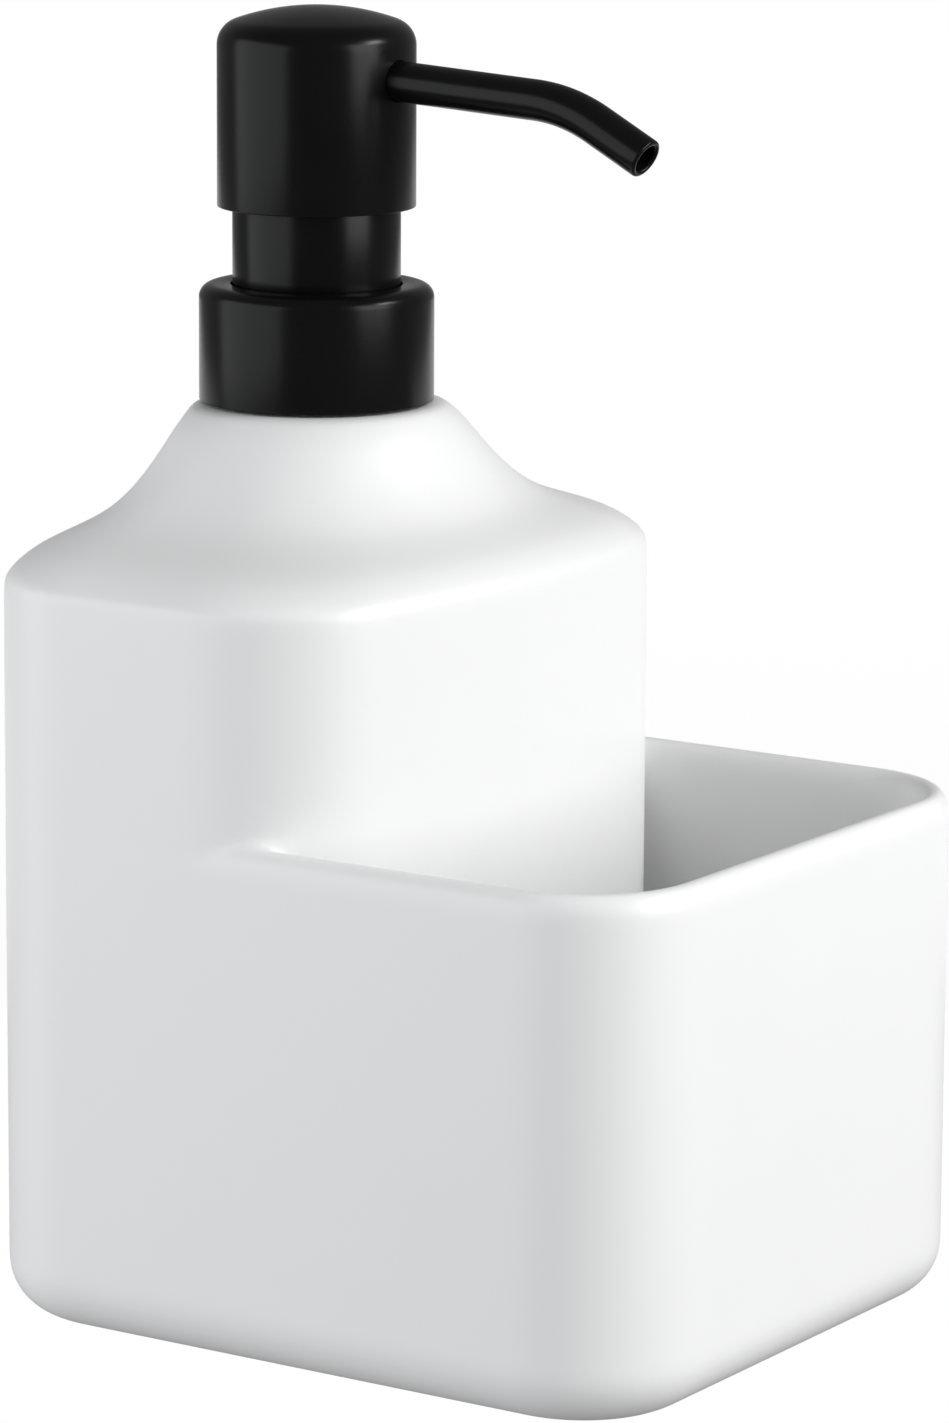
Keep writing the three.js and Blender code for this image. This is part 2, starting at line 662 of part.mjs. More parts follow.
// A straight bore along the fall of the spout, between two distances from the pump axis
function spoutBore(radius, from, to) {
  const section = new THREE.Shape(circle(radius, SPOUT_SIDES));
  const path = new THREE.LineCurve3(spoutAt(from), spoutAt(to));
  return clean(new THREE.ExtrudeGeometry(section, { steps: 1, extrudePath: path }));
}

// Dome of the head: a tight round at the edge runs into a flat crown; the inside and the core follow it
function domed(offset) {
  const radius = HEAD_R - offset;
  const edge = DOME_EDGE_R - offset;
  const crown = DOME_CROWN_R - offset;
  const crownZ = headTop - DOME_CROWN_R;
  const lean = Math.asin((radius - edge) / (crown - edge));
  const edgeZ = crownZ + (crown - edge) * Math.cos(lean);
  const points = [];
  for (let i = 0; i <= ROUND_STEPS; i++) {
    const t = Math.PI / 2 + ((lean - Math.PI / 2) * i) / ROUND_STEPS;
    points.push([radius - edge + edge * Math.sin(t), edgeZ + edge * Math.cos(t)]);
  }
  for (let i = 1; i < CROWN_STEPS; i++) {
    const t = lean * (1 - i / CROWN_STEPS);
    points.push([crown * Math.sin(t), crownZ + crown * Math.cos(t)]);
  }
  return points;
}

// Actuator core inside the head: disc with the spout bore, boss with the stem socket
const headInnerR = HEAD_R - SHELL;
const coreR = headInnerR - GAP;
const coreTop = headTop - SHELL - GAP;
const bossR = STEM_R + GAP + BOSS_WALL;
const bossBottom = coreBottom - BOSS_LENGTH;
const socketBoreR = STEM_R + GAP;
const core = [
  [SPOUT_BORE_R, spoutZ],
  [SPOUT_BORE_R, stemTop + GAP],
  [socketBoreR, stemTop + GAP],
  [socketBoreR, bossBottom],
  [bossR, bossBottom],
  [bossR, coreBottom],
  [coreR, coreBottom],
  ...domed(SHELL + GAP),
  [0, coreTop],
  [0, spoutZ],
];
const spoutSocket = spoutBore(SPOUT_R + GAP, SPOUT_ROOT - GAP, HEAD_R + CUT_OVER);
const spoutDuct = spoutBore(SPOUT_BORE_R, 0, SPOUT_ROOT);
add('actuator_core', cut(turned(core, INNER_SIDES), spoutSocket, spoutDuct), 0x2a2a2b, 0.6, 0);

// Head: domed metal cap with the spout hole in its side
const head = [
  [HEAD_R, headBottom],
  ...domed(0),
  [0, headTop],
  [0, headTop - SHELL],
  ...domed(SHELL).reverse(),
  [headInnerR, headBottom],
];
const spoutHole = spoutBore(SPOUT_R + GAP, HEAD_R - CUT_OVER, HEAD_R + CUT_OVER);
add('head_shell', cut(turned(head, SHOWN_SIDES), spoutHole), 0x1a1a1b, 0.42, 0.6);

export default group;
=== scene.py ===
# %% [markdown]
# # A ceramic soap dispenser with an open holder
# The object is one white glazed casting with a black push pump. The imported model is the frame: it
# says where each piece is and what it moves with. This lesson gives every piece its finished form.
# The model is in metres, so sizes below are written in millimetres and multiplied by MM.

# %% Load the frame
import json
import math

import bmesh
import bpy
from mathutils import Matrix, Vector
from mathutils.geometry import interpolate_bezier


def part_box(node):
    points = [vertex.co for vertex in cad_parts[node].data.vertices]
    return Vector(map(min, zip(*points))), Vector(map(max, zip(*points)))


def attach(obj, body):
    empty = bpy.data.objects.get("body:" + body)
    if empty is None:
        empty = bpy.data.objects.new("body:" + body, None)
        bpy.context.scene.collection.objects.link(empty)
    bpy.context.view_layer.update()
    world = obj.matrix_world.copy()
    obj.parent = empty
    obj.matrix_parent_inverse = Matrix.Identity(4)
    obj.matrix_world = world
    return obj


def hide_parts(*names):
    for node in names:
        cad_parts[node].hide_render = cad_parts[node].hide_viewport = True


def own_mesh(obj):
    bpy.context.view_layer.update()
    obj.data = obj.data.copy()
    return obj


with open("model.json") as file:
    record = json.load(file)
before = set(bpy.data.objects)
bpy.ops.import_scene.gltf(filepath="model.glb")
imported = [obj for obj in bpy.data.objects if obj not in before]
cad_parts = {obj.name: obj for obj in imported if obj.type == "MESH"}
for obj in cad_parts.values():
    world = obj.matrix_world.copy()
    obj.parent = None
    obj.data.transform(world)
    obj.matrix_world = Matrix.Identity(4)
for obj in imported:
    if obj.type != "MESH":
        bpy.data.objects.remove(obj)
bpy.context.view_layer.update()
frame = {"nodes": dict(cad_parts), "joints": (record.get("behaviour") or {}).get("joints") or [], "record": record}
MM = 0.001

# %% [markdown]
# ## Where things are
# The frame answers most questions about size. The pump's axis is the middle of the collar, and each
# level of the pump is the top or bottom of a node, so nothing below has to be measured twice.

# %% Read the levels
def span(node):
    """Radius, lowest and highest level of a round node."""
    low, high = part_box(node)
    return (high.x - low.x) / 2, low.z, high.z


vessel_low, vessel_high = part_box("ceramic_body")
collar_radius, collar_low, collar_top = span("collar_shell")
sleeve_radius, sleeve_low, sleeve_top = span("guide_sleeve")
head_radius, head_low, head_top = span("head_shell")
pump_axis = (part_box("collar_shell")[0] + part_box("collar_shell")[1]) / 2
pump_axis.z = 0
print("pump axis at x", round(pump_axis.x / MM, 2), "mm, head top at", round(head_top / MM, 2), "mm")

# %% [markdown]
# ## The camera
# A long lens stands in front, a little to the right and above. Three directions describe it: back
# from the object, to the right of the picture and up in it. A camera's matrix is those three columns
# and its place, so it can be set without turning anything by hand.

# %% Set the camera
PHOTO_HEIGHT = 1423
CAMERA_AZIMUTH = math.radians(33.333)
CAMERA_PITCH = math.radians(11.355)
CAMERA_ROLL = math.radians(0.291)
CAMERA_DISTANCE = 939.6 * MM
CAMERA_FOCAL_PIXELS = 6354
AIM_HEIGHT = 85.1 * MM
AIM_SIDE = 23.35 * MM

back = Vector((
    math.sin(CAMERA_AZIMUTH) * math.cos(CAMERA_PITCH),
    -math.cos(CAMERA_AZIMUTH) * math.cos(CAMERA_PITCH),
    math.sin(CAMERA_PITCH),
))
level_right = Vector((math.cos(CAMERA_AZIMUTH), math.sin(CAMERA_AZIMUTH), 0))
level_up = back.cross(level_right)
right = level_right * math.cos(CAMERA_ROLL) + level_up * math.sin(CAMERA_ROLL)
up = level_up * math.cos(CAMERA_ROLL) - level_right * math.sin(CAMERA_ROLL)
aim = pump_axis + level_right * AIM_SIDE + Vector((0, 0, AIM_HEIGHT))
place = aim + back * CAMERA_DISTANCE

bpy.ops.object.camera_add()
camera = bpy.context.object
camera.name = "camera"
camera.data.sensor_width = 36
camera.data.lens = CAMERA_FOCAL_PIXELS / PHOTO_HEIGHT * camera.data.sensor_width
camera.matrix_world = Matrix.Translation(place) @ Matrix((right, up, back)).transposed().to_4x4()
bpy.context.scene.camera = camera
print("lens", round(camera.data.lens, 1), "mm")

# %% [markdown]
# ## Working as by hand
# Operators act on what is selected. These helpers add a block, select edges or faces by a test on
# their place, and apply a modifier, so that each later step reads like the clicks that make it.

# %% Helpers for edit mode
UPRIGHT_RISE = 10 * MM
SAME_LEVEL = 0.001 * MM
SHARP_ANGLE = math.radians(57)


def add_block(name, low, high):
    bpy.ops.object.select_all(action="DESELECT")
    bpy.ops.mesh.primitive_cube_add(size=1, location=(low + high) / 2, scale=high - low)
    block = bpy.context.object
    block.name = name
    bpy.ops.object.transform_apply()
    return block


def take(piece):
    bpy.ops.object.select_all(action="DESELECT")
    piece.select_set(True)
    bpy.context.view_layer.objects.active = piece


def pick(piece, kind, test):
    """Select the edges or faces that pass a test, and stay in edit mode."""
    bpy.ops.object.mode_set(mode="EDIT")
    bpy.ops.mesh.select_mode(type=kind)
    bpy.ops.mesh.select_all(action="DESELECT")
    cage = bmesh.from_edit_mesh(piece.data)
    for part in cage.faces if kind == "FACE" else cage.edges:
        part.select_set(test(part))
    bmesh.update_edit_mesh(piece.data)


def push(x=0, y=0, z=0):
    bpy.ops.mesh.extrude_region_move(TRANSFORM_OT_translate={"value": (x, y, z)})


def leave_edit():
    bpy.ops.object.mode_set(mode="OBJECT")


def use_modifier(piece, kind, **settings):
    take(piece)
    modifier = piece.modifiers.new(kind.lower(), kind)
    for key, value in settings.items():
        setattr(modifier, key, value)
    bpy.ops.object.modifier_apply(modifier=modifier.name)


def is_upright(edge):
    a, b = edge.verts
    return abs(a.co.z - b.co.z) > UPRIGHT_RISE


def at_level(z):
    return lambda part: all(abs(v.co.z - z) < SAME_LEVEL for v in part.verts)


def at_sharp_level(z):
    flat = at_level(z)
    return lambda edge: flat(edge) and edge.calc_face_angle(0) > SHARP_ANGLE


# %% [markdown]
# ## The open holder
# The lower half of the casting is a box with one wall thickness, large round corners and a rim that
# is rounded right over, as glaze makes it. A cube with bevelled uprights gives the plan. An inset and
# a push down make the pocket, and bevels round its floor, the rim and the base. The rim is higher
# than it is wide, so its round is stretched down from the top.

# %% Model the open holder
RIM_HEIGHT = 76.2 * MM
RIM_STRETCH = 1.75
CORNER_RADIUS = 19 * MM
HOLDER_WALL = 4.2 * MM
RIM_ROUND = 0.49 * HOLDER_WALL
HOLDER_FLOOR = 7.5 * MM
FLOOR_ROUND = 6 * MM
BASE_ROUND = 8.2 * MM
FOOT_WIDTH = 6 * MM
FOOT_RECESS = 1.5 * MM

holder = add_block("open_holder", vessel_low, Vector((vessel_high.x, vessel_high.y, RIM_HEIGHT)))
pick(holder, "EDGE", is_upright)
bpy.ops.mesh.bevel(offset=CORNER_RADIUS, segments=18, affect="EDGES")
pick(holder, "FACE", at_level(RIM_HEIGHT))
bpy.ops.mesh.inset(thickness=HOLDER_WALL)
push(z=HOLDER_FLOOR - RIM_HEIGHT)
pick(holder, "EDGE", at_level(HOLDER_FLOOR))
bpy.ops.mesh.bevel(offset=FLOOR_ROUND, segments=8, affect="EDGES")
pick(holder, "EDGE", at_sharp_level(RIM_HEIGHT))
bpy.ops.mesh.bevel(offset=RIM_ROUND, segments=8, affect="EDGES")
pick(holder, "FACE", lambda face: all(v.co.z > RIM_HEIGHT - HOLDER_WALL / 2 for v in face.verts))
bpy.ops.transform.resize(value=(1, 1, RIM_STRETCH), center_override=(0, 0, RIM_HEIGHT))
pick(holder, "EDGE", at_level(0))
bpy.ops.mesh.bevel(offset=BASE_ROUND, segments=10, affect="EDGES")
pick(holder, "FACE", at_level(0))
bpy.ops.mesh.inset(thickness=FOOT_WIDTH)
push(z=FOOT_RECESS)
leave_edit()
print("open holder:", len(holder.data.polygons), "faces")

# %% [markdown]
# ## The line of the shoulder
# The shoulder runs in an S from the bottle's plan to the round neck. Seven knots say how much of the
# plan is left at each share of the shoulder's height, and a smooth curve runs through them. Between
# two knots it is a Bezier whose handles follow the knots on either side.

# %% Draw the shoulder's curve
SHOULDER_KNOTS = (
    (1, 0), (0.975, 0.08), (0.826, 0.22), (0.52, 0.37), (0.318, 0.6), (0.157, 0.88), (0.056, 1),
)
KNOT_STEPS = 2


def curve_through(knots, steps):
    """Points (share, rise) along a smooth curve through the knots, without the first knot."""
    ends = [Vector((*knot, 0)) for knot in (knots[0], *knots, knots[-1])]
    points = []
    for before, start, end, after in zip(ends, ends[1:], ends[2:], ends[3:]):
        handles = start + (end - before) / 6, end - (after - start) / 6
        points += interpolate_bezier(start, *handles, end, steps + 1)[1:]
    return [(point.x, point.y) for point in points]


shoulder_line = curve_through(SHOULDER_KNOTS, KNOT_STEPS)
print("shoulder line:", len(shoulder_line), "steps")

# %% [markdown]
# ## The bottle's plan
# Seen from above, the bottle shares its sides and rear corners with the box. Its front corners are
# wider and its front face is slightly domed, so the plan is a chain of arcs that meet smoothly. By
# hand it is one point that is extruded from place to place until it comes back to its start.

# %% Draw the bottle's plan
BOTTLE_LENGTH = 68 * MM
FRONT_CORNER = 23 * MM
FRONT_FACE = 132 * MM
MERGE_DISTANCE = 0.002 * MM


def arc_points(centre, radius, start, end, steps):
    """Points of an arc in a plane, from one angle in degrees to another."""
    points = []
    for i in range(steps + 1):
        angle = math.radians(start + (end - start) * i / steps)
        points.append((centre[0] + radius * math.cos(angle), centre[1] + radius * math.sin(angle)))
    return points


def draw_chain(name, points, origin=Vector()):
    """A closed chain of edges through points, which are measured from the piece's origin."""
    bpy.ops.object.select_all(action="DESELECT")
    bpy.ops.mesh.primitive_plane_add(size=MM, location=origin)
    chain = bpy.context.object
    chain.name = name
    bpy.ops.object.mode_set(mode="EDIT")
    bpy.ops.mesh.select_mode(type="VERT")
    bpy.ops.mesh.select_all(action="SELECT")
    bpy.ops.mesh.merge(type="CENTER")
    bpy.ops.transform.translate(value=points[0])
    for start, end in zip(points, points[1:] + points[:1]):
        push(*(end - start))
    bpy.ops.mesh.select_all(action="SELECT")
    bpy.ops.mesh.remove_doubles(threshold=MERGE_DISTANCE)
    return chain


def bottle_plan(inset):
    """The bottle's outline from above, smaller by an inset."""
    corner_y = vessel_high.y - FRONT_CORNER
    turn = math.asin(corner_y / (FRONT_FACE - FRONT_CORNER))
    face_x = vessel_low.x + BOTTLE_LENGTH - FRONT_FACE
    corner_x = face_x + (FRONT_FACE - FRONT_CORNER) * math.cos(turn)
    rear = (vessel_low.x + CORNER_RADIUS, vessel_high.y - CORNER_RADIUS)
    half = (
        arc_points((face_x, 0), FRONT_FACE - inset, 0, math.degrees(turn), 8)
        + arc_points((corner_x, corner_y), FRONT_CORNER - inset, math.degrees(turn), 90, 12)[1:]
        + arc_points(rear, CORNER_RADIUS - inset, 90, 180, 12)
    )
    return half + [(x, -y) for x, y in half[:0:-1]]


print("bottle plan:", len(bottle_plan(0)), "points")

# %% [markdown]
# ## The bottle
# The plan is filled and pushed up, and its top face then follows the shoulder's line in small steps.
# At each step To Sphere makes the plan rounder and Resize draws it in, and a Subdivision Surface then
# makes the steps one sweep. The flat ledge under the collar has one more ring close to its edge, which
# keeps that edge firm.

# %% Model the bottle
LONG_EDGE = 8 * MM
EDGE_CUTS = 9
BOTTLE_WALL = 4.6 * MM
BOTTLE_FOOT = 2 * MM
CREASE_HEIGHT = 108 * MM
SHOULDER_HEIGHT = 131.4 * MM
SHOULDER_RADIUS = 17 * MM
NECK_RADIUS = 12.5 * MM
NECK_BORE = 9.5 * MM
FIRM_RING = 0.4 * MM
NECK_START = 1 * MM
NECK_END = 0.5 * MM
neck_top = vessel_high.z


def top_ring_mean(piece, z):
    cage = bmesh.from_edit_mesh(piece.data)
    ring = [(v.co.xy - pump_axis.xy).length for v in cage.verts if abs(v.co.z - z) < SAME_LEVEL]
    return sum(ring) / len(ring)


def draw_in(piece, z, drawn, share, target):
    """Draw the top ring in until it keeps a share of its first plan, and the rest is a circle."""
    mean = top_ring_mean(piece, z)
    kept = share / drawn
    rounded = target * (1 - share) - kept * target * (1 - drawn)
    centre = (pump_axis.x, pump_axis.y, z)
    bpy.ops.transform.tosphere(value=rounded / (kept * mean + rounded), center_override=centre)
    scale = (kept * mean + rounded) / mean
    bpy.ops.transform.resize(value=(scale, scale, 1), center_override=centre)


def round_in(piece, z, radius, roundness):
    """Copy the top ring inwards, rounder and with a mean radius, on the same level."""
    push()
    centre = (pump_axis.x, pump_axis.y, z)
    bpy.ops.transform.tosphere(value=roundness, center_override=centre)
    scale = radius / top_ring_mean(piece, z)
    bpy.ops.transform.resize(value=(scale, scale, 1), center_override=centre)


def add_bottle(name, inset, foot, foot_round, lower, radius):
    crease = CREASE_HEIGHT - lower
    bottle = draw_chain(name, [Vector((x, y, foot)) for x, y in bottle_plan(inset)])
    pick(bottle, "EDGE", lambda edge: edge.calc_length() > LONG_EDGE)
    bpy.ops.mesh.subdivide(number_cuts=EDGE_CUTS)
    bpy.ops.mesh.select_all(action="SELECT")
    bpy.ops.mesh.edge_face_add()
    push(z=crease - foot)
    bpy.ops.mesh.select_all(action="SELECT")
    bpy.ops.mesh.normals_make_consistent(inside=False)
    pick(bottle, "EDGE", at_level(foot))
    bpy.ops.mesh.bevel(offset=foot_round, segments=8, affect="EDGES")
    pick(bottle, "FACE", at_level(crease))
    z, drawn = crease, 1
    for share, rise in shoulder_line:
        step = crease + (SHOULDER_HEIGHT - CREASE_HEIGHT) * rise - z
        push(z=step)
        z += step
        draw_in(bottle, z, drawn, share, radius)
        drawn = share
    return bottle, z


bottle, ledge = add_bottle("bottle", 0, BOTTLE_FOOT, BASE_ROUND, 0, SHOULDER_RADIUS)
round_in(bottle, ledge, SHOULDER_RADIUS, 0.3)
round_in(bottle, ledge, NECK_RADIUS + FIRM_RING, 1)
round_in(bottle, ledge, NECK_RADIUS, 1)
push(z=NECK_START)
push(z=neck_top - ledge - NECK_START - NECK_END)
push(z=NECK_END)
leave_edit()
use_modifier(bottle, "SUBSURF", levels=2, render_levels=2)
print("bottle:", len(bottle.data.polygons), "faces before it is hollow")

# %% [markdown]
# ## The soap chamber
# The bottle is cast hollow, so its inside follows its outside. Solidify would thicken the skin, but it
# can't keep the neck's bore. The same form, smaller by the wall, is made again and a Boolean cuts it
# out.

# %% Hollow the bottle
CUT_PAST = 1 * MM
chamber, chamber_top = add_bottle(
    "soap_chamber", BOTTLE_WALL, HOLDER_FLOOR, FLOOR_ROUND, BOTTLE_WALL / 2, NECK_BORE,
)
round_in(chamber, chamber_top, NECK_BORE, 1)
push(z=neck_top - chamber_top + CUT_PAST)
leave_edit()
use_modifier(chamber, "SUBSURF", levels=1, render_levels=1)
use_modifier(bottle, "BOOLEAN", operation="DIFFERENCE", solver="EXACT", object=chamber)
bpy.data.objects.remove(chamber)
print("bottle:", len(bottle.data.polygons), "faces when hollow")

# %% [markdown]
# ## One casting
# Slip and glaze leave no hard inner corner: the rim of the holder melts into the flank of the bottle.
# A voxel Remesh fuses the two bodies into one skin, Smooth lets the seams flow, and Decimate takes
# faces away where the skin is flat.

# %% Fuse the casting
VOXEL = 0.55 * MM
KEPT_SHARE = 0.22

take(bottle)
holder.select_set(True)
bpy.ops.object.join()
vessel = bottle
vessel.name = "glazed_vessel"
use_modifier(vessel, "REMESH", mode="VOXEL", voxel_size=VOXEL)
use_modifier(vessel, "SMOOTH", factor=0.5, iterations=10)
use_modifier(vessel, "DECIMATE", ratio=KEPT_SHARE)
bpy.ops.object.shade_smooth()


def stand_for(piece, node):
    """Say which node a piece replaces; it moves with that node's body."""
    bodies = frame["record"]["behaviour"]["bodies"]
    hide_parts(node)
    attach(piece, next(body for body, nodes in bodies.items() if node in nodes))
    print(f"{piece.name}: {len(piece.data.polygons)} faces for {node}")


stand_for(vessel, "ceramic_body")
print("glazed vessel measures", [round(c / MM, 2) for c in vessel.dimensions])

# %% [markdown]
# ## Turned pieces
# Most of the pump is round about one axis. By hand such a piece is a chain of points, extruded one
# from the other, and a Spin about the axis. The chain ends where it began, so merging doubles closes
# the skin. A Bevel on the hard edges gives them the small round that pressing or moulding leaves.

# %% Helpers that turn a profile
EDGE_ROUND = 0.15 * MM
HARD_ANGLE = math.radians(40)
SMOOTH_ANGLE = math.radians(35)
SLIVER = 0.001 * MM


def draw_outline(name, profile):
    """A chain of points (radius, height) beside the pump's axis, on which its origin is."""
    return draw_chain(name, [Vector((r, 0, z)) for r, z in profile], pump_axis)


def close_skin():
    bpy.ops.mesh.select_all(action="SELECT")
    bpy.ops.mesh.remove_doubles(threshold=MERGE_DISTANCE)
    bpy.ops.mesh.dissolve_degenerate(threshold=SLIVER)
    bpy.ops.mesh.fill_holes(sides=0)
    bpy.ops.mesh.normals_make_consistent(inside=False)
    leave_edit()


def smooth_by_angle(piece):
    take(piece)
    bpy.ops.object.transform_apply()
    bpy.ops.object.shade_smooth_by_angle(angle=SMOOTH_ANGLE)


def turn_profile(name, profile, edge=EDGE_ROUND, steps=96):
    piece = draw_outline(name, profile)
    bpy.ops.mesh.spin(steps=steps, angle=math.tau, center=pump_axis, axis=(0, 0, 1))
    close_skin()
    if edge:
        use_modifier(
            piece, "BEVEL", width=edge, segments=3, limit_method="ANGLE", angle_limit=HARD_ANGLE,
        )
    smooth_by_angle(piece)
    return piece


def box_profile(inner, outer, low, high):
    return [(inner, low), (outer, low), (outer, high), (inner, high)]


# %% [markdown]
# ## Collar and sleeve
# The collar is a pressed metal shell: a straight skirt, a small round at the top edge and a flat top
# that ends at the sleeve. The sleeve is a thinner tube that stands in it. Cylinders and Booleans could
# make them too, but a turned profile holds the wall and the round edge in one chain.

# %% Turn the collar and the sleeve
SHELL = 0.8 * MM
COLLAR_ROUND = 2 * MM
FIT = 0.3 * MM
collar_hole = sleeve_radius + FIT
round_centre = (collar_radius - COLLAR_ROUND, collar_top - COLLAR_ROUND)
collar_profile = (
    [(collar_radius, collar_low)]
    + arc_points(round_centre, COLLAR_ROUND, 0, 90, 12)
    + [(collar_hole, collar_top), (collar_hole, collar_top - SHELL)]
    + arc_points(round_centre, COLLAR_ROUND - SHELL, 90, 0, 8)
    + [(collar_radius - SHELL, collar_low)]
)
collar = turn_profile("collar_cap", collar_profile)
stand_for(collar, "collar_shell")

sleeve_profile = box_profile(sleeve_radius - SHELL, sleeve_radius, sleeve_low, sleeve_top)
sleeve = turn_profile("sleeve_tube", sleeve_profile)
stand_for(sleeve, "guide_sleeve")

# %% [markdown]
# ## The head
# The head is a drawn cap. Its side is straight, its edge turns over in a tight round and the top is a
# shallow dome, so the profile is a straight line and two arcs that meet smoothly. A Boolean with a
# short bar makes the hole that the spout comes out of.

# %% Turn the head
SPOUT_RADIUS = 2.95 * MM
SPOUT_WALL = 0.9 * MM
SPOUT_ROOT = 4.5 * MM
SPOUT_STRAIGHT = 37.8 * MM
SPOUT_SLOPE = math.radians(3.1)
SPOUT_RISE = 19.7 * MM
DOME_CROWN = 36 * MM
DOME_EDGE = 3.9 * MM
CROWN_END = 88
SPOUT_FIT = 0.12 * MM
HOLE_START = 8 * MM
HOLE_END = 20 * MM

spout_start = Vector((pump_axis.x, 0, head_low + SPOUT_RISE))
along = Vector((math.cos(SPOUT_SLOPE), 0, -math.sin(SPOUT_SLOPE)))
across = Vector((-math.sin(SPOUT_SLOPE), 0, -math.cos(SPOUT_SLOPE)))


def add_bar(name, start, end, radius):
    """A round bar between two points, to cut with."""
    bpy.ops.object.select_all(action="DESELECT")
    bpy.ops.mesh.primitive_cylinder_add(
        vertices=64, radius=radius, depth=(end - start).length, location=(start + end) / 2,
        rotation=(end - start).to_track_quat("Z", "Y").to_euler(),
    )
    bar = bpy.context.object
    bar.name = name
    bpy.ops.object.transform_apply()
    return bar


def cut_with(piece, tool):
    use_modifier(piece, "BOOLEAN", operation="DIFFERENCE", solver="EXACT", object=tool)
    bpy.data.objects.remove(tool)
    smooth_by_angle(piece)


def dome_points(inset):
    """The edge's arc and the crown's arc, from the side up to just beside the axis."""
    edge, crown = DOME_EDGE - inset, DOME_CROWN - inset
    out = head_radius - DOME_EDGE
    lean = math.asin(out / (crown - edge))
    crown_centre = (0, head_top - DOME_CROWN)
    edge_centre = (out, crown_centre[1] + (crown - edge) * math.cos(lean))
    meet = 90 - math.degrees(lean)
    edge_arc = arc_points(edge_centre, edge, 0, meet, 10)
    return edge_arc + arc_points(crown_centre, crown, meet, CROWN_END, 12)[1:]


head_profile = (
    [(head_radius, head_low)] + dome_points(0) + [(0, head_top), (0, head_top - SHELL)]
    + dome_points(SHELL)[::-1] + [(head_radius - SHELL, head_low)]
)
head = turn_profile("head_cap", head_profile)
hole_start = spout_start + along * HOLE_START
hole_end = spout_start + along * HOLE_END
cut_with(head, add_bar("spout_hole", hole_start, hole_end, SPOUT_RADIUS + SPOUT_FIT))
stand_for(head, "head_shell")

# %% [markdown]
# ## The spout
# The spout is a bent tube. A circle is pushed along the straight run, spun about a point below it for
# the bend and pushed on to the tip. Solidify gives the wall and a Bevel rounds the cut end. A curve
# with a round section could do it too, but this way the bend's radius is exact.

# %% Bend the spout
SPOUT_BEND = math.radians(24.8)
BEND_LEG = 5.5 * MM
SPOUT_TIP = 9.4 * MM
TIP_ROUND = 0.42 * MM
TIP_ANGLE = math.radians(50)
STRAIGHT_STEPS = 8
TIP_STEPS = 3
bend_radius = BEND_LEG / math.tan(SPOUT_BEND / 2)
root = spout_start + along * SPOUT_ROOT
bend_start = spout_start + along * SPOUT_STRAIGHT
tip_slope = SPOUT_SLOPE + SPOUT_BEND
tip_way = Vector((math.cos(tip_slope), 0, -math.sin(tip_slope)))

bpy.ops.object.select_all(action="DESELECT")
bpy.ops.mesh.primitive_circle_add(
    vertices=48, radius=SPOUT_RADIUS, location=root, rotation=(0, math.pi / 2 + SPOUT_SLOPE, 0),
)
spout = bpy.context.object
spout.name = "spout_pipe"
bpy.ops.object.transform_apply()
bpy.ops.object.mode_set(mode="EDIT")
bpy.ops.mesh.select_mode(type="EDGE")
bpy.ops.mesh.select_all(action="SELECT")
for _ in range(STRAIGHT_STEPS):
    push(*((bend_start - root) / STRAIGHT_STEPS))
bpy.ops.mesh.spin(steps=14, angle=SPOUT_BEND, center=bend_start + across * bend_radius, axis=(0, -1, 0))
for _ in range(TIP_STEPS):
    push(*(tip_way * SPOUT_TIP / TIP_STEPS))
bpy.ops.mesh.select_all(action="SELECT")
bpy.ops.mesh.remove_doubles(threshold=MERGE_DISTANCE)
bpy.ops.mesh.normals_make_consistent(inside=False)
leave_edit()
use_modifier(spout, "SOLIDIFY", thickness=SPOUT_WALL, offset=-1, use_rim=True)
use_modifier(spout, "BEVEL", width=TIP_ROUND, segments=4, limit_method="ANGLE", angle_limit=TIP_ANGLE)
smooth_by_angle(spout)
stand_for(spout, "spout_tube")

# %% [markdown]
# ## Screw threads
# The collar screws onto a ring that is bonded to the neck. A thread is one small section that climbs
# as it turns, which is what the Screw modifier does. Its ends are filled, and a Boolean joins the
# ridge to the ring. The collar's own ridge looks inwards.

# %% Make the threaded ring and the collar's insert
THREAD_PITCH = 3.6 * MM
RIDGE_ROOT = 0.9 * MM
RIDGE_CREST = 0.35 * MM
RIDGE_SUNK = 0.1 * MM
RIDGE_HEIGHT = 0.5 * MM
THREAD_START = 2 * MM
THREAD_PLAY = 0.45 * MM
THREAD_STEPS = 48
RING_TURNS = 1.8
INSERT_TURNS = 1.6
RING_EDGE = 0.1 * MM


def add_thread(name, base, crest, start, turns):
    """A ridge from one radius to another, around the pump's axis."""
    section = [
        (base, start - RIDGE_ROOT), (crest, start - RIDGE_CREST),
        (crest, start + RIDGE_CREST), (base, start + RIDGE_ROOT),
    ]
    ridge = draw_outline(name, section)
    leave_edit()
    steps = int(THREAD_STEPS * turns)
    use_modifier(
        ridge, "SCREW", angle=math.tau * turns, screw_offset=THREAD_PITCH * turns,
        steps=steps, render_steps=steps,
    )
    bpy.ops.object.mode_set(mode="EDIT")
    close_skin()
    smooth_by_angle(ridge)
    return ridge


def join_ridge(piece, ridge):
    use_modifier(piece, "BOOLEAN", operation="UNION", solver="EXACT", object=ridge)
    bpy.data.objects.remove(ridge)
    smooth_by_angle(piece)


ring_radius, ring_low, ring_top = span("neck_thread_ring")
ring_root = ring_radius - RIDGE_HEIGHT
ring_profile = box_profile(NECK_RADIUS + FIT, ring_root, ring_low, ring_top)
ring = turn_profile("threaded_ring", ring_profile, RING_EDGE)
ring_start = ring_low + THREAD_START
join_ridge(ring, add_thread("ring_ridge", ring_root - RIDGE_SUNK, ring_radius, ring_start, RING_TURNS))
stand_for(ring, "neck_thread_ring")

